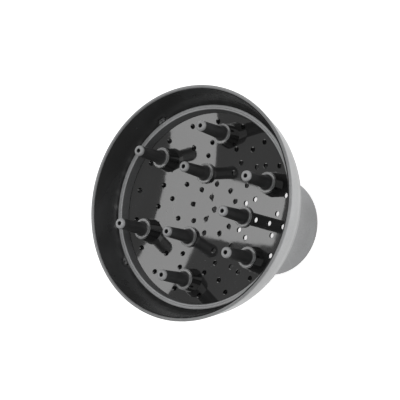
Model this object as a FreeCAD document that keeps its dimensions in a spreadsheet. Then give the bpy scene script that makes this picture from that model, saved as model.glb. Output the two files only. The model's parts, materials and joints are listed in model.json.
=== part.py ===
"""Bowl diffuser for a hair dryer: a bell housing whose neck pushes onto the dryer's barrel,
and a perforated finger dish that unclips from its mouth.

Origin: centre of the neck's open end. +Z runs along the axis, out of the mouth.
+X points at the first of the three inner fingers. Millimetres.
"""
import FreeCAD
import Part
import Sketcher
import math
import os

doc = FreeCAD.newDocument("dryer_diffuser")

# ---------------------------------------------------------------- driving sizes
SIZES = {
    # bell housing
    "housing_depth": 118.8,       # neck end to lip
    "lip_radius": 80.0,
    "lip_width": 2.2,             # rolled edge of the bezel
    "bezel_depth": 20.0,          # lip to crease
    "bezel_wall": 1.6,
    "crease_gap": 0.2,            # liner to shell at the crease
    "waist_radius": 58.0,         # where the neck's flare turns into the shoulder
    "waist_height": 72.0,
    "neck_radius": 36.1,
    "neck_length": 12.0,          # straight part of the neck
    "bell_wall": 2.0,
    "shoulder_ratio": 0.85,       # shoulder's arc to the throat's arc
    "waist_across": 0.78,         # share of the wall across, and up, at the waist
    "waist_up": 0.63,
    "neck_bevel": 0.6,
    "grip_lip": 0.7,              # lips in the bore that keep the sleeve in place
    "bore_straight": 17.0,        # straight bore above the neck's straight part
    # rubber grip in the neck
    "grip_wall": 1.7,
    "grip_length": 22.0,
    "grip_offset": 3.0,           # neck end to sleeve
    "groove_depth": 0.7,
    "groove_width": 2.2,
    # flare liner
    "liner_wall": 1.2,
    "flare_gap": 2.1,             # rim to the visible foot of the flare
    "ledge_drop": 20.8,           # lip to the ledge that carries the dish
    "ledge_thickness": 1.5,
    "liner_edge": 0.7,            # lip of the liner under the bezel's roll
    "liner_edge_rise": 0.4,
    "collar": 1.0,                # step of the liner that sits in the bell's mouth
    "bell_mouth": 3.2,            # crease to the inside of the bell's mouth
    "seat_overlap": 1.0,          # how far the dish's ring laps over the ledge
    "pattern_rim": 70.3,          # rim radius that the circles of holes and fingers suit
    # dish
    "rim_drop": 19.3,             # lip to the top of the rim
    "rim_radius": 70.3,
    "lock_width": 1.8,            # radial size of the lock ring
    "trim_width": 1.4,            # radial size of the trim ring
    "seam_bevel": 0.12,
    "rim_bevel": 0.35,
    "trim_height": 1.3,
    "dish_corner": 1.0,           # rounding under the edge of the floor
    "dish_centre_drop": 35.0,     # lip to the middle of the floor
    "dish_edge_drop": 26.2,       # lip to the edge of the floor
    "skirt_run": 1.3,             # how far the trim ring's skirt leans in
    "skirt_wall": 0.5,
    "floor_thickness": 1.8,
    "hole_radius": 1.8,
    # fingers
    "outer_circle": 51.2,         # radius of the circle of six fingers
    "inner_circle": 26.2,         # radius of the circle of three fingers
    "outer_seat_drop": 20.5,      # lip to the outer fingers' seats
    "inner_seat_drop": 32.2,      # lip to the inner fingers' seats
    "pedestal_radius": 7.2,
    "pedestal_spread": 1.4,       # how much wider an outer pedestal is at its foot
    "finger_height": 25.6,        # seat to the shoulder under the nose
    "finger_foot_radius": 6.9,
    "finger_foot_edge": 0.7,
    "finger_base_radius": 4.4,
    "finger_fillet": 1.5,         # stem to foot
    "finger_top_radius": 3.5,
    "finger_bore": 2.2,
    "spigot_radius": 3.2,
    "spigot_length": 2.6,
    "nose_radius": 3.7,
    "nose_height": 2.2,
    "nose_hole": 1.4,
    "nose_flat": 2.1,             # radius of the flat around the hole
    "nose_plug_length": 3.0,
    "nose_bevel": 0.2,
    "nose_side": 0.5,             # straight side under the dome
    # latches on the rim
    "latch_width": 4.6,
    "latch_reach": 1.9,           # radial size of the head
    "latch_leg": 1.5,             # radial size of the leg
    "latch_height": 2.2,          # ledge to the top of the head
    "latch_groove": 1.0,
    "latch_pin_radius": 0.4,
    "pin_share": 0.55,            # how far across the leg the pin lies
    "latch_pin_drop": 0.6,        # ledge down to the pin
    "latch_pin_length": 8.4,
    "latch_bevel": 0.4,
    "latch_neck": 1.1,            # ledge to the underside of the head
    "latch_lead": 0.4,            # slope under the head
    "latch_groove_depth": 0.7,
    "latch_foot": 1.2,            # ledge down to the foot of the leg
    "notch_room": 1.2,            # behind and above a latch, for its swing
    # fits
    "fit": 0.05,                  # radial, pieces of one assembly
    "free_gap": 0.3,              # pieces that move past each other
}

sheet = doc.addObject("Spreadsheet::Sheet", "sizes")
for row, (alias, value) in enumerate(SIZES.items(), start=1):
    sheet.set("A%d" % row, alias)
    sheet.set("B%d" % row, str(value))
    sheet.setAlias("B%d" % row, alias)
doc.recompute()

OUTER_FINGERS = 6
INNER_FINGERS = 3
LATCHES = 4
GRIP_GROOVES = 12
OUTER_START = 30.0                # degrees from +X
LATCH_START = 45.0

# Holes in the floor beside the even circles: (circle radius, angles in degrees). Each is
# drilled on both sides of the X axis.
EVEN_CIRCLES = [("bow_holes", 9.0, 3), ("edge_holes", 60.3, 18)]
MIRRORED_HOLES = [
    (17.7, (30, 58, 99, 141)), (26.1, (21,)), (28.9, (72, 155)), (30.5, (44,)), (34.0, (23,)),
    (37.8, (69, 112)), (44.3, (52, 80, 170)), (46.3, (106, 125)), (50.5, (47, 65)), (53.4, (8,)),
]
CENTRE_LINE_HOLES = [35.9, 48.0, -17.7, -34.8]


def cell(text):
    """Turns 'lip_radius - fit' into an expression that reads the sheet."""
    words = text.replace("(", " ( ").replace(")", " ) ").split()
    return " ".join("sizes." + word if word in SIZES else word for word in words)


def value(text):
    return float(sheet.evalExpression(text))


# ---------------------------------------------------------------- shared heights, as text
LIP = "housing_depth"
CREASE = "( housing_depth - bezel_depth )"
LEDGE = "( housing_depth - ledge_drop )"
RIM = "( housing_depth - rim_drop )"
EDGE_FLOOR = "( housing_depth - dish_edge_drop )"
MID_FLOOR = "( housing_depth - dish_centre_drop )"
OUTER_SEAT = "( housing_depth - outer_seat_drop )"
INNER_SEAT = "( housing_depth - inner_seat_drop )"
NECK_BORE = "( neck_radius - bell_wall )"
GRIP_TOP = "( grip_offset + grip_length )"
LEDGE_BORE = "( rim_radius - seat_overlap )"
RIM_SEAM = "( rim_radius - lock_width )"
RIM_INNER = "( rim_radius - lock_width - trim_width )"
FLOOR_RADIUS = "( rim_radius - lock_width - trim_width - skirt_run + skirt_wall + fit )"
FLARE_FOOT = "( rim_radius + flare_gap )"
OUTER_CIRCLE = "( outer_circle * rim_radius / pattern_rim )"
INNER_CIRCLE = "( inner_circle * rim_radius / pattern_rim )"
LATCH_INNER = "( rim_radius + free_gap )"
PIN_RADIUS_PLACE = "( rim_radius + free_gap + latch_leg * pin_share )"
PIN_HEIGHT = "( %s - latch_pin_drop )" % LEDGE
CREASE_RADIUS = "( rim_radius + flare_gap + liner_wall + bezel_wall + crease_gap )"


def origin_feature(body, role):
    for feature in body.Origin.OriginFeatures:
        if feature.Role == role:
            return feature
    raise ValueError(role)


def new_body(name):
    body = doc.addObject("PartDesign::Body", name)
    body.Label = name
    return body


def new_sketch(body, name, plane, offset=None):
    sketch = body.newObject("Sketcher::SketchObject", name)
    sketch.AttachmentSupport = [(origin_feature(body, plane), "")]
    sketch.MapMode = "FlatFace"
    if offset is not None:
        sketch.setExpression("AttachmentOffset.Base.z", cell(offset))
    return sketch


def arc_between(start, end, radius, side):
    """Arc from start to end. side +1 bulges to the left of the way from start to end."""
    dx = end[0] - start[0]
    dy = end[1] - start[1]
    chord = math.hypot(dx, dy)
    reach = math.sqrt(max(radius * radius - chord * chord / 4, 0))
    centre = FreeCAD.Vector((start[0] + end[0]) / 2 + side * reach * dy / chord,
                            (start[1] + end[1]) / 2 - side * reach * dx / chord, 0)
    first, last = (start, end) if side < 0 else (end, start)
    angles = [math.atan2(point[1] - centre.y, point[0] - centre.x) for point in (first, last)]
    if angles[1] < angles[0]:
        angles[1] += 2 * math.pi
    return Part.ArcOfCircle(Part.Circle(centre, FreeCAD.Vector(0, 0, 1), radius), *angles)


def outline(sketch, corners):
    """Closed outline. A corner is (x, y) or (x, y, arc radius, side) for an arc that ends there."""
    points = [(value(corner[0]), value(corner[1])) for corner in corners]
    count = len(corners)
    for i in range(count):
        start = points[i - 1]
        end = points[i]
        if len(corners[i]) == 4:
            arc = arc_between(start, end, value(corners[i][2]), corners[i][3])
            index = sketch.addGeometry(arc, False)
        else:
            line = Part.LineSegment(FreeCAD.Vector(*start, 0), FreeCAD.Vector(*end, 0))
            index = sketch.addGeometry(line, False)
        assert index == i
    ends = []
    for i in range(count):
        piece = sketch.Geometry[i]
        first = piece.StartPoint
        forward = math.hypot(first.x - points[i - 1][0], first.y - points[i - 1][1]) < 1e-6
        ends.append((1, 2) if forward else (2, 1))
    for i in range(count):
        following = (i + 1) % count
        join = Sketcher.Constraint("Coincident", i, ends[i][1], following, ends[following][0])
        sketch.addConstraint(join)
    for i in range(count):
        for axis, text, number in (("X", corners[i][0], points[i][0]),
                                   ("Y", corners[i][1], points[i][1])):
            if abs(number) < 1e-9:
                other = -2 if axis == "X" else -1
                sketch.addConstraint(Sketcher.Constraint("PointOnObject", i, ends[i][1], other))
                continue
            kind = "Distance" + axis
            index = sketch.addConstraint(Sketcher.Constraint(kind, -1, 1, i, ends[i][1], number))
            sketch.renameConstraint(index, "corner%d%s" % (i, axis))
            sketch.setExpression("Constraints.corner%d%s" % (i, axis), cell(text))
        if len(corners[i]) == 4:
            radius = value(corners[i][2])
            index = sketch.addConstraint(Sketcher.Constraint("Radius", i, radius))
            sketch.renameConstraint(index, "arc%d" % i)
            sketch.setExpression("Constraints.arc%d" % i, cell(corners[i][2]))


def turned(body, name, corners):
    """Solid of revolution about Z, from an outline in the XZ plane."""
    sketch = new_sketch(body, name + "_outline", "XZ_Plane")
    outline(sketch, corners)
    turn = body.newObject("PartDesign::Revolution", name)
    turn.Profile = sketch
    turn.ReferenceAxis = (sketch, ["V_Axis"])
    turn.Angle = 360
    doc.recompute()
    return turn


def circle_at(sketch, x_text, radius_text, angle=0.0):
    """One circle whose centre lies x_text from the axis, at an angle from +X."""
    reach = value(x_text)
    radius = value(radius_text)
    turn = math.radians(angle)
    centre = FreeCAD.Vector(reach * math.cos(turn), reach * math.sin(turn), 0)
    index = sketch.addGeometry(Part.Circle(centre, FreeCAD.Vector(0, 0, 1), radius), False)
    rule = sketch.addConstraint(Sketcher.Constraint("Radius", index, radius))
    sketch.renameConstraint(rule, "radius%d" % index)
    sketch.setExpression("Constraints.radius%d" % index, cell(radius_text))
    for axis, factor in (("X", math.cos(turn)), ("Y", math.sin(turn))):
        if abs(reach * factor) < 1e-9:
            other = -2 if axis == "X" else -1
            sketch.addConstraint(Sketcher.Constraint("PointOnObject", index, 3, other))
            continue
        number = reach * factor
        rule = sketch.addConstraint(
            Sketcher.Constraint("Distance" + axis, -1, 1, index, 3, number))
        sketch.renameConstraint(rule, "place%d%s" % (index, axis))
        sketch.setExpression("Constraints.place%d%s" % (index, axis),
                             "( %s ) * %.9f" % (cell(x_text), factor))
    return index


def repeat(body, feature, name, count):
    pattern = body.newObject("PartDesign::PolarPattern", name)
    pattern.Originals = [feature]
    pattern.Axis = (origin_feature(body, "Z_Axis"), [""])
    pattern.Angle = 360
    pattern.Occurrences = count
    body.Tip = pattern
    doc.recompute()
    return pattern


def cut_through(body, sketch, name):
    """Cuts the sketch right through the body, both ways, and checks that it cut."""
    before = body.Shape.Volume
    pocket = body.newObject("PartDesign::Pocket", name)
    pocket.Profile = sketch
    pocket.Type = "ThroughAll"
    pocket.Midplane = True
    doc.recompute()
    if not body.Shape.Volume < before - 1e-3:
        raise ValueError(name + " cut nothing")
    return pocket


def cut_midway(body, sketch, name, length):
    """Cuts the sketch into the body, half the length to each side of its plane."""
    before = body.Shape.Volume
    pocket = body.newObject("PartDesign::Pocket", name)
    pocket.Profile = sketch
    pocket.Type = "Length"
    pocket.Midplane = True
    pocket.setExpression("Length", cell(length))
    doc.recompute()
    if not body.Shape.Volume < before - 0.1:
        raise ValueError(name + " cut nothing")
    return pocket


# ---------------------------------------------------------------- bell housing
def arc_radius_from_upright(dx, dy):
    """Text for the radius of an arc that starts upright and moves over by dx, up by dy."""
    return "( ( %s ) * ( %s ) + ( %s ) * ( %s ) ) / ( 2 * ( %s ) )" % (dx, dx, dy, dy, dx)


def make_rear_bell():
    body = new_body("rear_bell")
    throat_dx = "waist_radius - neck_radius"
    throat_dy = "waist_height - neck_length"
    throat = arc_radius_from_upright(throat_dx, throat_dy)
    shoulder = "( %s ) * shoulder_ratio" % throat
    ledge_low = "( %s - ledge_thickness )" % LEDGE
    turned(body, "bell", [
        ("neck_radius - neck_bevel", "0"),
        ("neck_radius", "neck_bevel"),
        ("neck_radius", "neck_length"),
        ("waist_radius", "waist_height", throat, 1),
        (CREASE_RADIUS, CREASE, shoulder, -1),
        (FLARE_FOOT + " + liner_wall + fit", CREASE),
        (FLARE_FOOT + " + liner_wall + fit - collar", CREASE),
        (FLARE_FOOT + " + liner_wall + fit - collar", ledge_low),
        (CREASE_RADIUS + " - bell_wall - bell_mouth", ledge_low),
        ("waist_radius - waist_across * bell_wall", "waist_height + waist_up * bell_wall",
         "%s - bell_wall" % shoulder, 1),
        (NECK_BORE + " - grip_lip", "neck_length + bore_straight", throat, -1),
        (NECK_BORE + " - grip_lip", GRIP_TOP),
        (NECK_BORE, GRIP_TOP),
        (NECK_BORE, "grip_offset"),
        (NECK_BORE + " - grip_lip", "grip_offset"),
        (NECK_BORE + " - grip_lip", "grip_lip"),
        (NECK_BORE, "0"),
    ])
    return body


def make_bezel_shell():
    body = new_body("bezel_shell")
    inner_top = "lip_radius - lip_width"
    half = "lip_width / 2"
    turned(body, "bezel", [
        (CREASE_RADIUS, CREASE),
        ("lip_radius", LIP + " - " + half),
        ("lip_radius - " + half, LIP, half, -1),
        (inner_top, LIP + " - " + half, half, -1),
        (CREASE_RADIUS + " - bezel_wall", CREASE),
    ])
    return body


def make_flare_liner():
    body = new_body("flare_liner")
    bezel_top_inner = "lip_radius - lip_width - fit"
    turned(body, "flare", [
        (LEDGE_BORE, "%s - ledge_thickness" % LEDGE),
        (FLARE_FOOT + " + liner_wall - collar", "%s - ledge_thickness" % LEDGE),
        (FLARE_FOOT + " + liner_wall - collar", CREASE + " + fit"),
        (CREASE_RADIUS + " - bezel_wall - fit", CREASE + " + fit"),
        (bezel_top_inner, LIP + " - lip_width / 2 - 2 * fit"),
        (bezel_top_inner + " - liner_edge", LIP + " - lip_width / 2 - 2 * fit + liner_edge_rise"),
        (FLARE_FOOT, LEDGE),
        (LEDGE_BORE, LEDGE),
    ])
    # a notch for each latch, and a cross hole for its pin
    notch = new_sketch(body, "notch_outline", "XZ_Plane")
    behind = LATCH_INNER + " + latch_reach + notch_room"
    outline(notch, [
        (LATCH_INNER + " - free_gap", LEDGE + " - ledge_thickness - notch_room"),
        (behind, LEDGE + " - ledge_thickness - notch_room"),
        (behind, LEDGE + " + latch_height + notch_room"),
        (LATCH_INNER + " - free_gap", LEDGE + " + latch_height + notch_room"),
    ])
    cut = cut_midway(body, notch, "notch", "latch_width + 2 * free_gap")
    repeat(body, cut, "notches", LATCHES)
    hole = new_sketch(body, "pin_outline", "XZ_Plane")
    pin_circle(hole, "latch_pin_radius + fit")
    bore = cut_midway(body, hole, "pin_hole", "latch_pin_length + 2 * fit")
    repeat(body, bore, "pin_holes", LATCHES)
    body.Placement = FreeCAD.Placement(FreeCAD.Vector(), FreeCAD.Rotation(LATCH_START, 0, 0))
    return body


def pin_circle(sketch, radius_text):
    reach = value(PIN_RADIUS_PLACE)
    height = value(PIN_HEIGHT)
    radius = value(radius_text)
    centre = FreeCAD.Vector(reach, height, 0)
    sketch.addGeometry(Part.Circle(centre, FreeCAD.Vector(0, 0, 1), radius), False)
    rules = (("DistanceX", PIN_RADIUS_PLACE, reach), ("DistanceY", PIN_HEIGHT, height))
    for kind, text, number in rules:
        rule = sketch.addConstraint(Sketcher.Constraint(kind, -1, 1, 0, 3, number))
        sketch.renameConstraint(rule, kind)
        sketch.setExpression("Constraints." + kind, cell(text))
    rule = sketch.addConstraint(Sketcher.Constraint("Radius", 0, radius))
    sketch.renameConstraint(rule, "radius")
    sketch.setExpression("Constraints.radius", cell(radius_text))


def make_grip_sleeve():
    body = new_body("grip_sleeve")
    turned(body, "sleeve", [
        (NECK_BORE + " - fit", "grip_offset + fit"),
        (NECK_BORE + " - fit", GRIP_TOP + " - fit"),
        (NECK_BORE + " - grip_wall", GRIP_TOP + " - fit"),
        (NECK_BORE + " - grip_wall", "grip_offset + fit"),
    ])
    groove = new_sketch(body, "groove_outline", "XY_Plane", "grip_offset")
    inside = NECK_BORE + " - grip_wall"
    outline(groove, [
        (inside + " - groove_depth", "- groove_width / 2"),
        (inside + " + groove_depth", "- groove_width / 2"),
        (inside + " + groove_depth", "groove_width / 2"),
        (inside + " - groove_depth", "groove_width / 2"),
    ])
    repeat(body, cut_through(body, groove, "groove"), "grooves", GRIP_GROOVES)
    return body


# ---------------------------------------------------------------- finger dish
def floor_arc():
    """Text for the radius of the floor's shallow bowl."""
    rise = "( dish_centre_drop - dish_edge_drop )"
    return "( %s * %s + %s * %s ) / ( 2 * %s )" % (FLOOR_RADIUS, FLOOR_RADIUS, rise, rise, rise)


def seat_foot(circle):
    """Text for the height where a finger's seat runs out inside the floor."""
    near = "( %s - pedestal_radius - pedestal_spread )" % circle
    return "( %s + %s * %s / ( 2 * %s ) - floor_thickness / 2 )" % (
        MID_FLOOR, near, near, floor_arc())


def add_seats(body, name, circle, seat, spread, count, turn):
    """Raised hollow seats for the fingers, repeated around the axis, with their bores."""
    foot = seat_foot(circle)
    sketch = new_sketch(body, name + "_outline", "XZ_Plane")
    sketch.AttachmentOffset = FreeCAD.Placement(
        FreeCAD.Vector(), FreeCAD.Rotation(FreeCAD.Vector(0, 1, 0), turn))
    outline(sketch, [
        (circle, seat),
        (circle, foot),
        ("%s + pedestal_radius + %s" % (circle, spread), foot),
        ("%s + pedestal_radius" % circle, seat),
    ])
    cone = body.newObject("PartDesign::Revolution", name)
    cone.Profile = sketch
    cone.ReferenceAxis = (sketch, ["Edge2"])
    cone.Angle = 360
    doc.recompute()
    repeat(body, cone, name + "_all", count)
    core = new_sketch(body, name + "_core_outline", "XY_Plane", "%s - floor_thickness" % seat)
    circle_at(core, circle, "pedestal_radius - floor_thickness", turn)
    before = body.Shape.Volume
    hollow = body.newObject("PartDesign::Pocket", name + "_core")
    hollow.Profile = core
    hollow.Type = "ThroughAll"
    doc.recompute()
    if not body.Shape.Volume < before - 1:
        raise ValueError(name + " stayed solid")
    repeat(body, hollow, name + "_core_all", count)
    bore = new_sketch(body, name + "_bore_outline", "XY_Plane", MID_FLOOR)
    circle_at(bore, circle, "spigot_radius + fit", turn)
    hole = cut_through(body, bore, name + "_bore")
    repeat(body, hole, name + "_bore_all", count)


def hole_circle(radius):
    """Text for a circle of holes, which grows and shrinks with the rim."""
    return "( %s * rim_radius / pattern_rim )" % radius


def make_dish():
    body = new_body("dish")
    wall_top = RIM + " - trim_height - fit"
    bowl = floor_arc()
    under_edge = EDGE_FLOOR + " - floor_thickness"
    turned(body, "bowl", [
        ("hole_radius", MID_FLOOR + " - floor_thickness"),
        (FLOOR_RADIUS, under_edge, bowl, -1),
        (FLOOR_RADIUS + " + dish_corner", under_edge + " + dish_corner", "dish_corner", -1),
        (RIM_SEAM + " - 2 * fit", wall_top),
        (RIM_INNER + " + skirt_wall + fit", wall_top),
        (FLOOR_RADIUS, EDGE_FLOOR),
        ("hole_radius", MID_FLOOR, bowl, 1),
    ])
    add_seats(body, "outer_seat", OUTER_CIRCLE, OUTER_SEAT, "pedestal_spread", OUTER_FINGERS, OUTER_START)
    add_seats(body, "inner_seat", INNER_CIRCLE, INNER_SEAT, "0", INNER_FINGERS, 0.0)
    for name, circle, count in EVEN_CIRCLES:
        sketch = new_sketch(body, name + "_outline", "XY_Plane", MID_FLOOR)
        circle_at(sketch, hole_circle(circle), "hole_radius")
        repeat(body, cut_through(body, sketch, name), name + "_all", count)
    sketch = new_sketch(body, "floor_holes_outline", "XY_Plane", MID_FLOOR)
    for circle, angles in MIRRORED_HOLES:
        for angle in angles:
            circle_at(sketch, hole_circle(circle), "hole_radius", angle)
            circle_at(sketch, hole_circle(circle), "hole_radius", -angle)
    for circle in CENTRE_LINE_HOLES:
        circle_at(sketch, hole_circle(circle), "hole_radius")
    cut_through(body, sketch, "floor_holes")
    return body


def make_dish_trim_ring():
    body = new_body("dish_trim_ring")
    skirt_foot = EDGE_FLOOR + " + free_gap"
    turned(body, "trim", [
        (RIM_INNER + " - skirt_run", skirt_foot),
        (RIM_INNER + " - skirt_run + skirt_wall", skirt_foot),
        (RIM_INNER + " + skirt_wall", RIM + " - trim_height"),
        (RIM_SEAM + " - fit", RIM + " - trim_height"),
        (RIM_SEAM + " - fit", RIM + " - seam_bevel"),
        (RIM_SEAM + " - fit - seam_bevel", RIM),
        (RIM_INNER + " + rim_bevel", RIM),
        (RIM_INNER, RIM + " - rim_bevel"),
    ])
    return body


def make_lock_ring():
    body = new_body("lock_ring")
    turned(body, "ring", [
        (RIM_SEAM + " + fit", LEDGE + " + fit"),
        ("rim_radius", LEDGE + " + fit"),
        ("rim_radius", RIM + " - rim_bevel"),
        ("rim_radius - rim_bevel", RIM),
        (RIM_SEAM + " + fit + seam_bevel", RIM),
        (RIM_SEAM + " + fit", RIM + " - seam_bevel"),
    ])
    return body


def place_on_circle(body, circle, angle, height):
    """Stands a body on a circle around the axis, at a height, by expressions."""
    turn = math.radians(angle)
    body.setExpression("Placement.Base.x", "%s * %.9f" % (cell(circle), math.cos(turn)))
    body.setExpression("Placement.Base.y", "%s * %.9f" % (cell(circle), math.sin(turn)))
    body.setExpression("Placement.Base.z", cell(height))


def make_finger(name, circle, angle, seat):
    body = new_body(name)
    turned(body, name + "_stem", [
        ("finger_bore", "- spigot_length"),
        ("spigot_radius", "- spigot_length"),
        ("spigot_radius", "0"),
        ("finger_foot_radius", "0"),
        ("finger_foot_radius", "finger_foot_edge"),
        ("finger_base_radius + finger_fillet", "finger_foot_edge"),
        ("finger_base_radius", "finger_foot_edge + finger_fillet", "finger_fillet", 1),
        ("finger_top_radius", "finger_height"),
        ("finger_bore", "finger_height"),
    ])
    place_on_circle(body, circle, angle, seat)
    return body


def make_nose(name, circle, angle, seat):
    body = new_body(name)
    turned(body, name + "_cap", [
        ("nose_hole", "- nose_plug_length"),
        ("finger_bore - fit", "- nose_plug_length"),
        ("finger_bore - fit", "0"),
        ("nose_radius - nose_bevel", "0"),
        ("nose_radius", "nose_bevel"),
        ("nose_radius", "nose_side"),
        ("nose_flat", "nose_height", "nose_radius - nose_flat", -1),
        ("nose_hole", "nose_height"),
    ])
    place_on_circle(body, circle, angle, "%s + finger_height" % seat)
    return body


# ---------------------------------------------------------------- latches
def make_latch(name, angle):
    body = new_body(name)
    outer_leg = LATCH_INNER + " + latch_leg"
    head = LATCH_INNER + " + latch_reach"
    low = LEDGE + " - latch_foot"
    sketch = new_sketch(body, name + "_outline", "XZ_Plane")
    outline(sketch, [
        (LATCH_INNER, low + " + latch_bevel"),
        (LATCH_INNER + " + latch_bevel", low),
        (outer_leg + " - latch_bevel", low),
        (outer_leg, low + " + latch_bevel"),
        (outer_leg, LEDGE + " + latch_neck"),
        (head, LEDGE + " + latch_neck + latch_lead"),
        (head, LEDGE + " + latch_height - latch_bevel"),
        (head + " - latch_bevel", LEDGE + " + latch_height"),
        (LATCH_INNER + " + latch_bevel", LEDGE + " + latch_height"),
        (LATCH_INNER, LEDGE + " + latch_height - latch_bevel"),
    ])
    pad = body.newObject("PartDesign::Pad", name + "_block")
    pad.Profile = sketch
    pad.Midplane = True
    pad.setExpression("Length", cell("latch_width"))
    doc.recompute()
    groove = new_sketch(body, name + "_groove_outline", "YZ_Plane")
    outline(groove, [
        ("- latch_groove / 2", LEDGE + " + latch_height - latch_groove_depth"),
        ("latch_groove / 2", LEDGE + " + latch_height - latch_groove_depth"),
        ("latch_groove / 2", LEDGE + " + latch_height + notch_room"),
        ("- latch_groove / 2", LEDGE + " + latch_height + notch_room"),
    ])
    cut_through(body, groove, name + "_groove")
    hole = new_sketch(body, name + "_pin_outline", "XZ_Plane")
    pin_circle(hole, "latch_pin_radius + fit")
    cut_through(body, hole, name + "_pin_hole")
    body.Placement = FreeCAD.Placement(FreeCAD.Vector(), FreeCAD.Rotation(angle, 0, 0))
    return body


def make_latch_pins():
    body = new_body("latch_pins")
    sketch = new_sketch(body, "pins_outline", "XZ_Plane")
    pin_circle(sketch, "latch_pin_radius")
    pad = body.newObject("PartDesign::Pad", "pin")
    pad.Profile = sketch
    pad.Midplane = True
    pad.setExpression("Length", cell("latch_pin_length"))
    doc.recompute()
    body.AllowCompound = True
    repeat(body, pad, "pins", LATCHES)
    body.Placement = FreeCAD.Placement(FreeCAD.Vector(), FreeCAD.Rotation(LATCH_START, 0, 0))
    return body


# ---------------------------------------------------------------- the whole object
pieces = [
    make_rear_bell(),
    make_bezel_shell(),
    make_flare_liner(),
    make_grip_sleeve(),
    make_dish(),
    make_dish_trim_ring(),
    make_lock_ring(),
]
for i in range(OUTER_FINGERS):
    place = OUTER_START + 360.0 / OUTER_FINGERS * i
    pieces.append(make_finger("outer_finger_%d" % (i + 1), OUTER_CIRCLE, place, OUTER_SEAT))
    pieces.append(make_nose("outer_finger_nose_%d" % (i + 1), OUTER_CIRCLE, place, OUTER_SEAT))
for i in range(INNER_FINGERS):
    place = 360.0 / INNER_FINGERS * i
    pieces.append(make_finger("inner_finger_%d" % (i + 1), INNER_CIRCLE, place, INNER_SEAT))
    pieces.append(make_nose("inner_finger_nose_%d" % (i + 1), INNER_CIRCLE, place, INNER_SEAT))
for i in range(LATCHES):
    pieces.append(make_latch("rim_latch_%d" % (i + 1), LATCH_START + 360.0 / LATCHES * i))
pieces.append(make_latch_pins())

doc.recompute()
for item in doc.Objects:
    if "Invalid" in item.State or "Error" in item.State:
        raise ValueError("%s failed: %s" % (item.Label, item.State))
for piece in pieces:
    shape = piece.Shape
    if shape.isNull() or not shape.isValid() or not shape.Solids:
        raise ValueError(piece.Label + " has no valid shape")

os.makedirs("parts", exist_ok=True)
for piece in pieces:
    piece.Shape.exportStep("parts/%s.step" % piece.Label)
    print("%s: %.0f mm3, %d solid" % (piece.Label, piece.Shape.Volume, len(piece.Shape.Solids)))
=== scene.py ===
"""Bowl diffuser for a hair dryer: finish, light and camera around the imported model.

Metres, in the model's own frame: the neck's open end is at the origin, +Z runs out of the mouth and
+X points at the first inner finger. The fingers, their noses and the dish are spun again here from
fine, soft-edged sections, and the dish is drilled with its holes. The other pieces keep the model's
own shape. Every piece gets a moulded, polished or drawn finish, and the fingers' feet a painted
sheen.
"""

import json
import math

import bmesh
import bpy
from mathutils import Matrix, Vector


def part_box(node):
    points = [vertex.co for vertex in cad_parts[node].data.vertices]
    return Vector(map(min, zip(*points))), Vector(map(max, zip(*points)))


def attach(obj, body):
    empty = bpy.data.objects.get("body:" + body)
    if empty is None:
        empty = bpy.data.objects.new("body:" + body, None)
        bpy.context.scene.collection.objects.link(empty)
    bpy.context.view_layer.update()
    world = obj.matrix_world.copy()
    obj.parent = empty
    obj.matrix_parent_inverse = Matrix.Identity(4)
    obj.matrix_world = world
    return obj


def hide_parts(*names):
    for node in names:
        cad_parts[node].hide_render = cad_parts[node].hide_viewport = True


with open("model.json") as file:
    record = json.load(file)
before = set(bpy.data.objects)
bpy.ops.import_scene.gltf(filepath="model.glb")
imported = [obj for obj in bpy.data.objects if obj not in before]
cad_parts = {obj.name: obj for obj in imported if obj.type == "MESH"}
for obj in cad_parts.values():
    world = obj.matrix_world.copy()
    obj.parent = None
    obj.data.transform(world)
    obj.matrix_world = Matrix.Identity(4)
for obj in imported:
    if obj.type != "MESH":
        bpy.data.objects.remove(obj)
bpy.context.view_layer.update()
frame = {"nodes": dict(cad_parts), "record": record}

MM = 0.001
FULL_TURN = 2 * math.pi
MERGE_SPUN = 1e-7                      # points closer than this are joined after spinning,
MERGE_CUT = 1e-6                       # after cutting,
MERGE_MODEL = 2e-6                     # and in the model's own shapes

# ---------------------------------------------------------------- places taken from the frame
LIP_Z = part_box("bezel_shell")[1].z
DISH_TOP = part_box("dish")[1].z
OUTER_FINGERS = ["outer_finger_%d" % number for number in range(1, 7)]
INNER_FINGERS = ["inner_finger_%d" % number for number in range(1, 4)]
LATCHES = ["rim_latch_%d" % number for number in range(1, 5)]

# ---------------------------------------------------------------- sizes of the dish, metres
MID_FLOOR = LIP_Z - 35.0 * MM          # top of the floor on the axis
EDGE_FLOOR = LIP_Z - 26.2 * MM         # top of the floor where the wall starts
FLOOR_RADIUS = 66.35 * MM
FLOOR_THICKNESS = 1.8 * MM
FLOOR_STEPS = 26                       # points of the floor's curve in the section
WALL_RADIUS = 67.65 * MM               # the wall's inside, at its top
WALL_OUTSIDE = 68.4 * MM
CORNER = 1.0 * MM                      # rounding under the edge of the floor
DISH_EDGE = 0.16 * MM                  # rounding of every drilled or stepped edge
HOLE_RADIUS = 1.8 * MM
SEAT_RADIUS = 7.2 * MM
SEAT_SPREAD = 1.4 * MM                 # how much wider an outer finger's seat is at its foot
DRILL_BELOW = 10 * MM                  # the drills start this far under the middle of the floor
DRILL_ABOVE = 20 * MM                  # and end this far over its edge
SPIGOT_BORE = 3.25 * MM
SKIRT_RADIUS = 67.0 * MM               # faces of the trim ring inside this are its skirt

# Holes in the floor, in mm and degrees. Besides these there is one on the axis.
# Evenly spaced: circle radius, and how many.
EVEN_CIRCLES = [(9.0, 3), (60.3, 18)]
# In mirrored pairs: circle radius, and the angles from +X, each drilled to both sides of it.
MIRRORED_HOLES = [
    (17.7, (30, 58, 99, 141)), (26.1, (21,)), (28.9, (72, 155)), (30.5, (44,)), (34.0, (23,)),
    (37.8, (69, 112)), (44.3, (52, 80, 170)), (46.3, (106, 125)), (50.5, (47, 65)), (53.4, (8,)),
]
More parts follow.
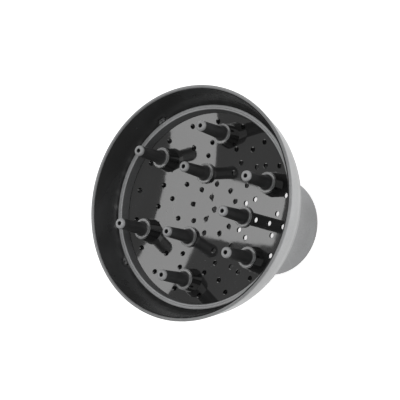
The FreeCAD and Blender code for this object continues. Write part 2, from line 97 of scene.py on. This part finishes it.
# Single ones: places along X.
CENTRE_LINE_HOLES = [35.9, 48.0, -17.7, -34.8]

# ---------------------------------------------------------------- sizes of a finger, metres
SPIGOT_LENGTH = 2.6 * MM               # from the finger's lower end up to its seat
SPIGOT_RADIUS = 3.2 * MM
STEM_BORE = 2.2 * MM
FLANGE_UNDERSIDE = 6.75 * MM
FLANGE_HEIGHT = 0.7 * MM
FLANGE_ROUNDING = (6.65 * MM, 0.25 * MM)   # radius of its centre, and its own radius
FOOT_FILLET = (5.9 * MM, 1.5 * MM)         # the same for the hollow above the flange
STEM_FOOT = (4.2 * MM, 8.0 * MM)           # radius, and height above the seat
STEM_SHOULDER = (3.62 * MM, 0.4 * MM)      # radius, and depth below the upper end
STEM_END = 3.5 * MM
SHEEN_PAINTED_OUTSIDE = 5.1 * MM              # beyond this radius the foot gets a painted sheen, paler and glossier

# ---------------------------------------------------------------- sizes of a nose, metres
NOSE_HOLE = 1.4 * MM
PLUG_RADIUS = 2.15 * MM
CAP_HEIGHT = 2.2 * MM
CAP_UNDERSIDE = 3.55 * MM
CAP_SIDE = [(3.68 * MM, 0.15 * MM), (3.7 * MM, 0.5 * MM)]    # radius, and height above the seat
CAP_DOME = (2.0 * MM, 0.5 * MM, 1.7 * MM)                    # centre as above, and radius
CAP_END = 1.85 * MM
COUNTERSINK = [(1.65 * MM, 0.05 * MM), (1.4 * MM, 0.4 * MM)]  # radius, and depth below the end
# Below this depth the air hole's faces are painted dark: painted shade.
HOLE_INSIDE = 1.45 * MM                # faces nearer the axis than this line the air hole
PAINTED_SHADE_DEPTH = 0.3 * MM                  # and are dark below this depth

# ---------------------------------------------------------------- facets around each round shape
DISH_FACETS = 180
SEAT_FACETS = 64
STEM_FACETS = 48
NOSE_FACETS = 40
SPIGOT_FACETS = 40
DRILL_FACETS = 28

# ---------------------------------------------------------------- sockets of the colour Mix node
MIX_AMOUNT, MIX_FIRST, MIX_SECOND, MIX_RESULT = 0, 6, 7, 2


# ---------------------------------------------------------------- shader maths
class Value:
    """A number or colour socket that adds Math nodes when it is used in an expression."""

    def __init__(self, shader, socket):
        self.shader = shader
        self.socket = socket

    def _math(self, operation, first, second):
        made = self.shader.node("ShaderNodeMath", {"operation": operation}, {0: first, 1: second})
        return Value(self.shader, made.outputs[0])

    def __add__(self, other):
        return self._math("ADD", self, other)

    __radd__ = __add__

    def __mul__(self, other):
        return self._math("MULTIPLY", self, other)

    __rmul__ = __mul__

    def __sub__(self, other):
        return self._math("SUBTRACT", self, other)

    def __rsub__(self, other):
        return self._math("SUBTRACT", other, self)

    def smooth(self, low, high):
        """0 below low, 1 above high, eased between."""
        made = self.shader.node(
            "ShaderNodeMapRange", {"interpolation_type": "SMOOTHSTEP"},
            {"Value": self, "From Min": low, "From Max": high})
        return Value(self.shader, made.outputs["Result"])


class Finish:
    """One material: a Principled shader and the nodes that vary it."""

    def __init__(self, name):
        self.material = bpy.data.materials.new(name)
        self.material.use_nodes = True
        self.tree = self.material.node_tree
        self.shader = self.tree.nodes["Principled BSDF"]
        place = self.tree.nodes.new("ShaderNodeTexCoord")
        self.place = Value(self, place.outputs["Object"])

    def node(self, kind, settings=None, inputs=None):
        made = self.tree.nodes.new(kind)
        for key, setting in (settings or {}).items():
            setattr(made, key, setting)
        for key, value in (inputs or {}).items():
            self.feed(made.inputs[key], value)
        return made

    def feed(self, socket, value):
        if isinstance(value, Value):
            self.tree.links.new(value.socket, socket)
        else:
            socket.default_value = value

    def noise(self, scale, detail=3.0, roughness=0.5, stretch=(1, 1, 1), distortion=0.0):
        """Noise on the object's own place, about 0 to 1, with scale in spots per metre."""
        spread = self.node("ShaderNodeMapping", None, {"Vector": self.place, "Scale": stretch})
        made = self.node("ShaderNodeTexNoise", None, {
            "Vector": Value(self, spread.outputs[0]), "Scale": scale, "Detail": detail,
            "Roughness": roughness, "Distortion": distortion})
        return Value(self, made.outputs[0])

    def scratches(self, scale, width, turn):
        """Fine straight scuffs: 1 on a scratch, 0 beside it."""
        spread = self.node("ShaderNodeMapping", None, {
            "Vector": self.place, "Rotation": turn, "Scale": (1.0, 0.045, 1.0)})
        made = self.node("ShaderNodeTexVoronoi", {"feature": "DISTANCE_TO_EDGE"}, {
            "Vector": Value(self, spread.outputs[0]), "Scale": scale})
        return 1 - Value(self, made.outputs["Distance"]).smooth(0.0, width)

    def blend(self, amount, first, second):
        """Colour first where amount is 0, second where it is 1."""
        made = self.node("ShaderNodeMix", {"data_type": "RGBA"}, {
            MIX_AMOUNT: amount, MIX_FIRST: first, MIX_SECOND: second})
        return Value(self, made.outputs[MIX_RESULT])

    def bump(self, height, strength, distance):
        made = self.node("ShaderNodeBump", None, {
            "Height": height, "Strength": strength, "Distance": distance})
        self.feed(self.shader.inputs["Normal"], Value(self, made.outputs[0]))

    def set(self, **sockets):
        for name, value in sockets.items():
            self.feed(self.shader.inputs[name.replace("_", " ")], value)


def grey(level, tint=0.0):
    """A neutral colour, slightly cool where tint is above 0."""
    return (level * (1 - tint), level, level * (1 + tint), 1.0)


# ---------------------------------------------------------------- finishes
def satin_moulding(name, level, rough, grain_size, grain_depth, spread=0.2):
    """Light or mid-grey moulded plastic with a fine spark-eroded texture and rubbed high spots."""
    finish = Finish(name)
    cloud = finish.noise(22.0, detail=4.0, roughness=0.55)
    speckle = finish.noise(900.0, detail=2.0, roughness=0.6)
    grain = finish.noise(grain_size, detail=3.0, roughness=0.6)
    rubs = finish.scratches(55.0, width=0.012, turn=(0.4, 0.9, 0.3)) * cloud.smooth(0.5, 0.72)
    tone = (cloud * 0.7 + speckle * 0.3).smooth(0.3, 0.7)
    body = finish.blend(tone, grey(level * (1 - spread), 0.01), grey(level * (1 + spread), 0.015))
    finish.set(Base_Color=finish.blend(rubs * 0.35, body, grey(level * 1.5, 0.01)))
    finish.set(Roughness=rough + (cloud - 0.5) * 0.16 + (grain - 0.5) * 0.12 - rubs * 0.08)
    finish.shader.inputs["Specular IOR Level"].default_value = 0.5
    finish.bump(grain - rubs * 0.5, strength=0.5, distance=grain_depth)
    return finish


def polished_moulding(name, level, rough, gloss_index):
    """Dark plastic polished like a mirror, with wiping smears, dust and a few hairline scuffs."""
    finish = Finish(name)
    smear = finish.noise(26.0, detail=5.0, roughness=0.6, stretch=(1.0, 0.55, 1.0), distortion=0.6)
    specks = finish.noise(1500.0, detail=2.0, roughness=0.5).smooth(0.69, 0.76)
    dust = specks * smear.smooth(0.42, 0.7)
    hair = finish.scratches(42.0, width=0.006, turn=(0.2, 0.1, 0.8)) * smear.smooth(0.55, 0.75)
    body = finish.blend(smear.smooth(0.35, 0.7), grey(level), grey(level * 1.35, 0.02))
    finish.set(Base_Color=finish.blend(dust * 0.35 + hair * 0.2, body, grey(0.22, 0.01)))
    finish.set(Roughness=rough + smear.smooth(0.45, 0.8) * rough * 0.9 + dust * 0.3 + hair * 0.1)
    finish.shader.inputs["IOR"].default_value = gloss_index
    swell = finish.noise(11.0, detail=1.0, roughness=0.4)
    ripple = finish.noise(70.0, detail=2.0, roughness=0.5)
    finish.bump(swell + ripple * 0.06 - hair * 0.004, strength=0.55, distance=0.7 * MM)
    return finish


def finger_moulding():
    """Dark satin plastic of the fingers. Their feet get a separate finish with a painted sheen,
    glossier and paler.
    """
    finish = Finish("finger_plastic")
    cloud = finish.noise(60.0, detail=4.0, roughness=0.6)
    grain = finish.noise(2600.0, detail=2.0, roughness=0.5)
    scuff = finish.scratches(160.0, width=0.02, turn=(1.3, 0.2, 0.4)) * cloud.smooth(0.5, 0.7)
    body = finish.blend(cloud.smooth(0.3, 0.7), grey(0.034, 0.01), grey(0.052, 0.02))
    finish.set(Base_Color=finish.blend(scuff * 0.3, body, grey(0.16)))
    finish.set(Roughness=0.34 + (cloud - 0.5) * 0.18 + scuff * 0.12)
    finish.shader.inputs["IOR"].default_value = 1.55
    finish.bump(grain + scuff * -0.4, strength=0.2, distance=0.02 * MM)
    return finish


def painted_sheen_foot():
    """The feet's flanges: the same plastic with a painted sheen, pale and glossy."""
    finish = Finish("foot_painted_sheen")
    cloud = finish.noise(240.0, detail=4.0, roughness=0.6)
    grain = finish.noise(2600.0, detail=2.0, roughness=0.5)
    # Painted sheen: the pale base colour stands in for the light that the flange's curve catches.
    finish.set(Base_Color=finish.blend(cloud.smooth(0.3, 0.7), grey(0.12, 0.01), grey(0.2, 0.01)))
    finish.set(Roughness=0.2 + (cloud - 0.5) * 0.16)
    finish.shader.inputs["IOR"].default_value = 1.7
    finish.bump(grain, strength=0.15, distance=0.02 * MM)
    return finish


def grip_rubber():
    """Matt black rubber with a pale bloom in patches."""
    finish = Finish("grip_rubber")
    cloud = finish.noise(40.0, detail=4.0, roughness=0.6)
    grain = finish.noise(3200.0, detail=3.0, roughness=0.7)
    bloom = cloud.smooth(0.52, 0.75)
    finish.set(Base_Color=finish.blend(bloom * 0.5, grey(0.018), grey(0.07, 0.01)))
    finish.set(Roughness=0.68 + (grain - 0.5) * 0.2 + bloom * 0.12)
    finish.shader.inputs["Specular IOR Level"].default_value = 0.35
    finish.bump(grain, strength=0.4, distance=0.06 * MM)
    return finish


def drawn_steel():
    """Bright steel wire with fine streaks from drawing."""
    finish = Finish("pin_steel")
    drawn = finish.noise(2500.0, detail=2.0, roughness=0.5, stretch=(1.0, 1.0, 0.05))
    cloud = finish.noise(300.0, detail=3.0, roughness=0.5)
    finish.set(Base_Color=finish.blend(cloud, grey(0.5, 0.01), grey(0.62, 0.01)))
    finish.set(Roughness=0.28 + (drawn - 0.5) * 0.2)
    finish.shader.inputs["Metallic"].default_value = 1.0
    finish.bump(drawn, strength=0.2, distance=0.01 * MM)
    return finish


# Satin plastics: grey level, roughness, grains per metre and grain depth in metres.
SATIN = {
    "bezel_plastic": (0.28, 0.38, 2200.0, 0.03 * MM),
    "bell_plastic": (0.21, 0.46, 1300.0, 0.08 * MM),
    "rim_plastic": (0.37, 0.30, 2400.0, 0.02 * MM),
    # The noses' pale grey is a painted highlight. It stands in for the light that their domed ends
    # catch.
    "nose_plastic": (0.33, 0.32, 2600.0, 0.02 * MM),
    "latch_plastic": (0.13, 0.30, 2400.0, 0.02 * MM),
}
# Polished plastics: grey level, roughness and refractive index.
POLISHED = {
    "flare_plastic": (0.038, 0.24, 1.5),
    "dish_plastic": (0.016, 0.04, 1.8),
}
FINISHES = {name: satin_moulding(name, *numbers) for name, numbers in SATIN.items()}
FINISHES.update({name: polished_moulding(name, *numbers) for name, numbers in POLISHED.items()})
FINISHES.update({
    "finger_plastic": finger_moulding(),
    "foot_painted_sheen": painted_sheen_foot(),
    "grip_rubber": grip_rubber(),
    "pin_steel": drawn_steel(),
})
SLOT_OF = {item["node"]: item["material_slot"] for item in frame["record"]["subparts"]}
BODY_OF = {node: body for body, nodes in frame["record"]["behaviour"]["bodies"].items()
           for node in nodes}


# ---------------------------------------------------------------- mesh helpers
def soften(mesh_edit, width, steepest, segments=2):
    """Rounds every edge sharper than an angle in degrees."""
    steep = math.radians(steepest)
    sharp = [edge for edge in mesh_edit.edges
             if edge.is_manifold and edge.calc_face_angle(0.0) > steep]
    if sharp:
        bmesh.ops.bevel(mesh_edit, geom=sharp, offset=width, offset_type="OFFSET", affect="EDGES",
                        segments=segments, profile=0.5, material=-1, clamp_overlap=True)


def finished(mesh_edit, name, node, smooth_below=40.0):
    """Turns the edited mesh into a piece that stands for a node and rides with its body."""
    mesh = bpy.data.meshes.new(name)
    mesh_edit.to_mesh(mesh)
    mesh_edit.free()
    mesh.polygons.foreach_set("use_smooth", [True] * len(mesh.polygons))
    mesh.set_sharp_from_angle(angle=math.radians(smooth_below))
    piece = bpy.data.objects.new(name, mesh)
    bpy.context.scene.collection.objects.link(piece)
    mesh.materials.append(FINISHES[SLOT_OF[node]].material)
    settle = piece.modifiers.new("settle", "WEIGHTED_NORMAL")
    settle.keep_sharp = True
    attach(piece, BODY_OF[node])
    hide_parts(node)
    return piece


def arc(centre, radius, start, end, steps):
    """Points of an arc in the section plane, angles in degrees from outward to up."""
    points = []
    for step in range(steps + 1):
        angle = math.radians(start + (end - start) * step / steps)
        points.append((centre[0] + radius * math.cos(angle), centre[1] + radius * math.sin(angle)))
    return points


def spun(section, steps, at=(0.0, 0.0)):
    """Closed section of (radius, height), spun about an upright axis, merged and facing out."""
    mesh_edit = bmesh.new()
    corners = [mesh_edit.verts.new((radius, 0.0, height)) for radius, height in section]
    edges = [mesh_edit.edges.new((corners[index - 1], corners[index]))
             for index in range(len(corners))]
    bmesh.ops.spin(mesh_edit, geom=corners + edges, cent=(0, 0, 0), axis=(0, 0, 1), dvec=(0, 0, 0),
                   angle=FULL_TURN, steps=steps, use_merge=True)
    bmesh.ops.remove_doubles(mesh_edit, verts=mesh_edit.verts, dist=MERGE_SPUN)
    bmesh.ops.recalc_face_normals(mesh_edit, faces=mesh_edit.faces)
    bmesh.ops.translate(mesh_edit, verts=mesh_edit.verts, vec=(at[0], at[1], 0.0))
    return mesh_edit


def middle_of(node):
    """Where a node's own axis stands, across and along."""
    low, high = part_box(node)
    return (low.x + high.x) / 2, (low.y + high.y) / 2


# ---------------------------------------------------------------- pieces in the model's own shape
def refinished(node):
    """The node's own shape, joined up and shaded smooth up to its sharp edges."""
    mesh_edit = bmesh.new()
    mesh_edit.from_mesh(frame["nodes"][node].data)
    bmesh.ops.remove_doubles(mesh_edit, verts=mesh_edit.verts, dist=MERGE_MODEL)
    bmesh.ops.dissolve_degenerate(mesh_edit, edges=mesh_edit.edges, dist=MERGE_CUT)
    return finished(mesh_edit, node + "_shell", node)


def trim_ring():
    """The trim ring: pale on top, with the skirt that lines the dish's wall in dark plastic."""
    piece = refinished("dish_trim_ring")
    piece.data.materials.append(FINISHES["latch_plastic"].material)
    for face in piece.data.polygons:
        if math.hypot(face.center.x, face.center.y) < SKIRT_RADIUS:
            face.material_index = 1


# ---------------------------------------------------------------- fingers
def finger(node):
    """Hollow finger: a flared foot, a long taper and a rounded shoulder under the nose."""
    low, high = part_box(node)
    foot = low.z + SPIGOT_LENGTH
    edge = foot + FLANGE_HEIGHT
    edge_radius, rounding = FLANGE_ROUNDING
    fillet_radius, fillet = FOOT_FILLET
    section = [(STEM_BORE, low.z), (SPIGOT_RADIUS, low.z), (SPIGOT_RADIUS, foot)]
    section += [(FLANGE_UNDERSIDE, foot)]
    section += arc((edge_radius, edge - rounding), rounding, start=0, end=85, steps=5)
    section += arc((fillet_radius, edge + fillet), fillet, start=268, end=182, steps=10)
    section += [(STEM_FOOT[0], foot + STEM_FOOT[1])]
    section += [(STEM_SHOULDER[0], high.z - STEM_SHOULDER[1])]
    section += [(STEM_END, high.z), (STEM_BORE, high.z)]
    across, along = middle_of(node)
    mesh_edit = spun(section, STEM_FACETS, (across, along))
    # Faces of the foot's flange beyond this radius take the painted sheen finish.
    for face in mesh_edit.faces:
        place = face.calc_center_median()
        if math.hypot(place.x - across, place.y - along) > SHEEN_PAINTED_OUTSIDE:
            face.material_index = 1
    piece = finished(mesh_edit, node + "_stem", node, smooth_below=50.0)
    piece.data.materials.append(FINISHES["foot_painted_sheen"].material)
    return piece


def nose(node):
    """Pressed-in nose with a domed edge, a flat end and an air hole with a countersunk mouth."""
    low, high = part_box(node)
    seat = high.z - CAP_HEIGHT
    dome_radius, dome_height, dome = CAP_DOME
    section = [(NOSE_HOLE, low.z), (PLUG_RADIUS, low.z), (PLUG_RADIUS, seat), (CAP_UNDERSIDE, seat)]
    section += [(radius, seat + rise) for radius, rise in CAP_SIDE]
    section += arc((dome_radius, seat + dome_height), dome, start=10, end=80, steps=7)
    section += [(CAP_END, high.z)] + [(radius, high.z - depth) for radius, depth in COUNTERSINK]
    across, along = middle_of(node)
    mesh_edit = spun(section, NOSE_FACETS, (across, along))
    # Deep in the air hole the faces take the dark finger finish as painted shade.
    for face in mesh_edit.faces:
        place = face.calc_center_median()
        inside = math.hypot(place.x - across, place.y - along) < HOLE_INSIDE
        if inside and place.z < high.z - PAINTED_SHADE_DEPTH:
            face.material_index = 1
    piece = finished(mesh_edit, node + "_cap", node, smooth_below=50.0)
    piece.data.materials.append(FINISHES["finger_plastic"].material)
    return piece


# ---------------------------------------------------------------- dish
def floor_height(radius):
    """Top of the shallow bowl at a distance from the axis."""
    rise = EDGE_FLOOR - MID_FLOOR
    bowl = (FLOOR_RADIUS ** 2 + rise ** 2) / (2 * rise)
    return MID_FLOOR + bowl - math.sqrt(bowl ** 2 - radius ** 2)


def dish_blank():
    """The dish before drilling, as a spun closed section."""
    across = [FLOOR_RADIUS * step / FLOOR_STEPS for step in range(FLOOR_STEPS + 1)]
    top = [(radius, floor_height(radius)) for radius in across]
    below = [(radius, floor_height(radius) - FLOOR_THICKNESS) for radius in across]
    wall_top = DISH_TOP
    under = below[-1][1]
    corner = arc((FLOOR_RADIUS, under + CORNER), CORNER, start=-90, end=0, steps=6)
    outside = corner[1:] + [(WALL_OUTSIDE, wall_top)]
    return spun(top + [(WALL_RADIUS, wall_top)] + outside[::-1] + below[::-1], DISH_FACETS)


def solid_object(mesh_edit, name):
    """The edited mesh as a plain object in the scene."""
    mesh = bpy.data.meshes.new(name)
    mesh_edit.to_mesh(mesh)
    mesh_edit.free()
    made = bpy.data.objects.new(name, mesh)
    bpy.context.scene.collection.objects.link(made)
    return made


def applied(piece, tools):
    """Works each (operation, tool) on the piece in turn and returns the edited mesh."""
    for operation, tool in tools:
        change = piece.modifiers.new(tool.name, "BOOLEAN")
        change.operation = operation
        change.object = tool
        change.solver = "EXACT"
    depsgraph = bpy.context.evaluated_depsgraph_get()
    shape = bpy.data.meshes.new_from_object(piece.evaluated_get(depsgraph))
    mesh_edit = bmesh.new()
    mesh_edit.from_mesh(shape)
    for spare in [piece] + [tool for operation, tool in tools]:
        bpy.data.objects.remove(spare)
    bpy.data.meshes.remove(shape)
    return mesh_edit


def drill_places():
    """Every hole in the floor, in metres."""
    places = []
    for circle, count in EVEN_CIRCLES:
        places += [(circle, 360.0 * number / count) for number in range(count)]
    for circle, angles in MIRRORED_HOLES:
        places += [(circle, side * angle) for angle in angles for side in (1, -1)]
    places += [(circle, 0.0) for circle in CENTRE_LINE_HOLES]
    around = [(circle * MM, math.radians(angle)) for circle, angle in places]
    return [(radius * math.cos(angle), radius * math.sin(angle))
            for radius, angle in around] + [(0.0, 0.0)]


def cylinders(places, radius, low, high, sides):
    """Upright cylinders in one mesh."""
    mesh_edit = bmesh.new()
    for across, along in places:
        made = bmesh.ops.create_cone(mesh_edit, cap_ends=True, segments=sides,
                                     radius1=radius, radius2=radius, depth=high - low)
        bmesh.ops.translate(mesh_edit, verts=made["verts"], vec=(across, along, (low + high) / 2))
    return mesh_edit


def seats():
    """Raised solid seats under the fingers, each ending inside the floor."""
    mesh_edit = bmesh.new()
    for node in OUTER_FINGERS + INNER_FINGERS:
        across, along = middle_of(node)
        circle = math.hypot(across, along)
        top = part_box(node)[0].z + SPIGOT_LENGTH
        spread = SEAT_SPREAD if node in OUTER_FINGERS else 0.0
        foot = floor_height(max(circle - SEAT_RADIUS - spread, 0)) - 0.5 * FLOOR_THICKNESS
        made = bmesh.ops.create_cone(mesh_edit, cap_ends=True, segments=SEAT_FACETS,
                                     radius1=SEAT_RADIUS + spread, radius2=SEAT_RADIUS,
                                     depth=top - foot)
        bmesh.ops.translate(mesh_edit, verts=made["verts"], vec=(across, along, (top + foot) / 2))
    return mesh_edit


def dish():
    """Perforated floor, wall and seats: blank and seats joined, then drilled."""
    low, high = MID_FLOOR - DRILL_BELOW, EDGE_FLOOR + DRILL_ABOVE
    blank = solid_object(dish_blank(), "dish_blank")
    risers = solid_object(seats(), "risers")
    drill = solid_object(
        cylinders(drill_places(), HOLE_RADIUS, low, high, DRILL_FACETS), "drill")
    places = [middle_of(node) for node in OUTER_FINGERS + INNER_FINGERS]
    spigots = solid_object(
        cylinders(places, SPIGOT_BORE, low, high, SPIGOT_FACETS), "spigots")
    mesh_edit = applied(blank, [("UNION", risers), ("DIFFERENCE", drill), ("DIFFERENCE", spigots)])
    bmesh.ops.remove_doubles(mesh_edit, verts=mesh_edit.verts, dist=MERGE_CUT)
    soften(mesh_edit, DISH_EDGE, steepest=50.0)
    return finished(mesh_edit, "dish_moulding", "dish")


# ---------------------------------------------------------------- build
for name in ("rear_bell", "bezel_shell", "flare_liner", "grip_sleeve", "latch_pins",
             "lock_ring") + tuple(LATCHES):
    refinished(name)
trim_ring()
dish()
for name in OUTER_FINGERS + INNER_FINGERS:
    finger(name)
    nose(name.replace("finger_", "finger_nose_"))

# ---------------------------------------------------------------- floor, light and camera
FLOOR_GAP = 0.3 * MM                   # keeps the floor clear of the neck's end
FLOOR_HALF = 14.0                      # half its side, wide enough to fill a low view
FLOOR_GLOW = 0.74
SKY_GLOW = 0.34
PANEL_HEIGHT = 1.08


def floor():
    """White studio floor, faintly glowing so that it stays white under the object."""
    finish = Finish("studio_floor")
    cloud = finish.noise(3.0, detail=3.0, roughness=0.5)
    finish.set(Base_Color=finish.blend(cloud, grey(0.86), grey(0.9)), Roughness=0.7)
    finish.shader.inputs["Emission Color"].default_value = grey(1.0)
    finish.shader.inputs["Emission Strength"].default_value = FLOOR_GLOW
    mesh_edit = bmesh.new()
    bmesh.ops.create_grid(mesh_edit, x_segments=1, y_segments=1, size=FLOOR_HALF)
    bmesh.ops.translate(mesh_edit, verts=mesh_edit.verts, vec=(0.0, 0.0, -FLOOR_GAP))
    ground = solid_object(mesh_edit, "studio_floor")
    ground.data.materials.append(finish.material)
    return ground


def panel(name, low, high, height, glow):
    """Flat light panel hung level over the object: its corners across and along, and its glow."""
    width, depth = high[0] - low[0], high[1] - low[1]
    light = bpy.data.lights.new(name, "AREA")
    light.shape = "RECTANGLE"
    light.size = width
    light.size_y = depth
    light.energy = glow * math.pi * width * depth
    lamp = bpy.data.objects.new(name, light)
    lamp.location = ((low[0] + high[0]) / 2, (low[1] + high[1]) / 2, height)
    bpy.context.scene.collection.objects.link(lamp)
    return lamp


def softbox(name, towards, distance, width, depth, glow):
    """Rectangular light in a direction from the dish, facing it."""
    lamp = panel(name, (0.0, 0.0), (width, depth), 0.0, glow)
    way = Vector(towards).normalized()
    lamp.location = Vector((0.0, 0.0, MID_FLOOR)) + way * distance
    lamp.rotation_mode = "QUATERNION"
    lamp.rotation_quaternion = way.to_track_quat("Z", "Y")
    return lamp


def studio():
    """Grey sky, three level panels that the dish mirrors as a pale cross, and two side lights."""
    world = bpy.data.worlds.new("studio")
    bpy.context.scene.world = world
    world.use_nodes = True
    back = world.node_tree.nodes["Background"]
    back.inputs["Color"].default_value = grey(1.0)
    back.inputs["Strength"].default_value = SKY_GLOW
    panel("cross_panel", low=(-0.60, -0.40), high=(-0.33, 0.42), height=PANEL_HEIGHT, glow=2.5)
    panel("side_panel", low=(-1.45, -0.12), high=(-0.60, 0.12), height=PANEL_HEIGHT, glow=2.5)
    panel("camera_side_panel", low=(0.10, -0.35), high=(0.80, 0.35), height=PANEL_HEIGHT, glow=1.5)
    softbox("right_box", (0.80, 0.55, 0.35), distance=1.1, width=0.7, depth=0.7, glow=1.4)
    softbox("back_box", (-0.85, 0.5, 0.12), distance=1.2, width=0.35, depth=0.9, glow=1.6)


def camera():
    """Long lens from above, rolled so that the neck points to the lower right."""
    lens = bpy.data.cameras.new("camera")
    lens.lens = 126.0
    lens.sensor_width = 36.0
    lens.clip_start = 0.05
    lens.clip_end = 20.0
    view = bpy.data.objects.new("camera", lens)
    right = Vector((0.8033, 0.2533, -0.5391))
    up = Vector((-0.2021, 0.9673, 0.1534))
    back = right.cross(up)
    turn = Matrix((right, up, back)).transposed()
    view.location = (0.5308, -0.0100, 0.8883)
    view.rotation_mode = "QUATERNION"
    view.rotation_quaternion = turn.to_quaternion()
    bpy.context.scene.collection.objects.link(view)
    bpy.context.scene.camera = view


floor()
studio()
camera()
bpy.context.scene.view_settings.view_transform = "Standard"
